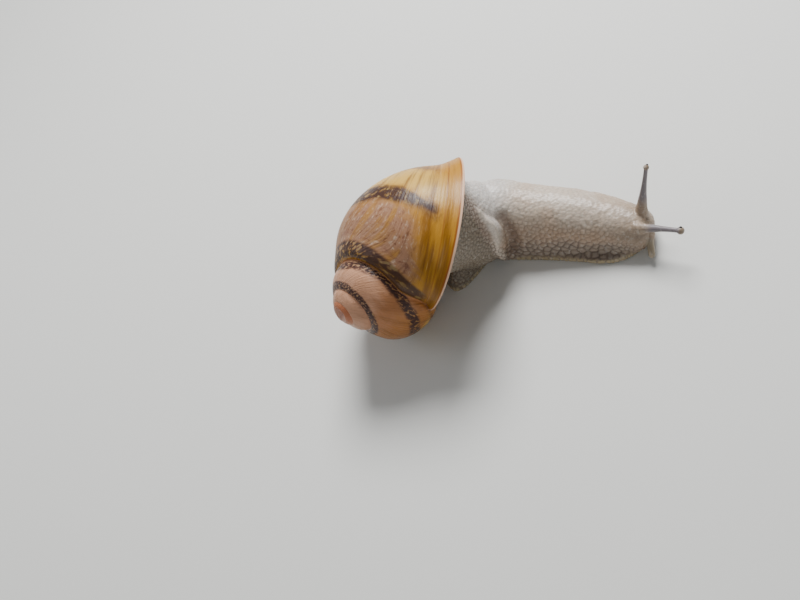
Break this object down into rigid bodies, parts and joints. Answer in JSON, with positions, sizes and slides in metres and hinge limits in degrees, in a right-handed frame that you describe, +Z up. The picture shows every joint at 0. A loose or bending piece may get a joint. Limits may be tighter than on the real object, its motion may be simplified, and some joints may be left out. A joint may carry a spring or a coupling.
{
  "type": "garden snail",
  "caption": "Garden snail stretched out of its shell and turning aside, the spired shell leaning over the foot: a still, life-size museum model",
  "frame": {"origin": "On the flat sole, in the middle of the foot under the root of the neck, at floor level", "axes": "+X to the head, the longest extent; +Y to the snail's left; +Z up from the floor, the shortest extent"},
  "size_m": [0.0687, 0.0367, 0.0275],
  "materials": {
    "shell": "glossy shell, amber and mauve-brown with dark spiral bands",
    "flesh": "wet, beige-grey and tubercled",
    "tentacles": "wet, smooth mauve-grey",
    "eyes": "glossy black"
  },
  "bodies": {
    "root": {"shell": "shell", "head": "flesh", "neck_front": "flesh", "neck_rear": "flesh", "body_stalk": "flesh", "mantle_collar": "flesh", "foot_middle": "flesh", "foot_rear": "flesh", "tail": "flesh", "upper_tentacle_left": "tentacles", "upper_tentacle_left_tip": "tentacles", "upper_tentacle_right": "tentacles", "upper_tentacle_right_tip": "tentacles", "lower_tentacle_left": "tentacles", "lower_tentacle_right": "tentacles", "eye_left": "eyes", "eye_right": "eyes"}
  },
  "joints": []
}
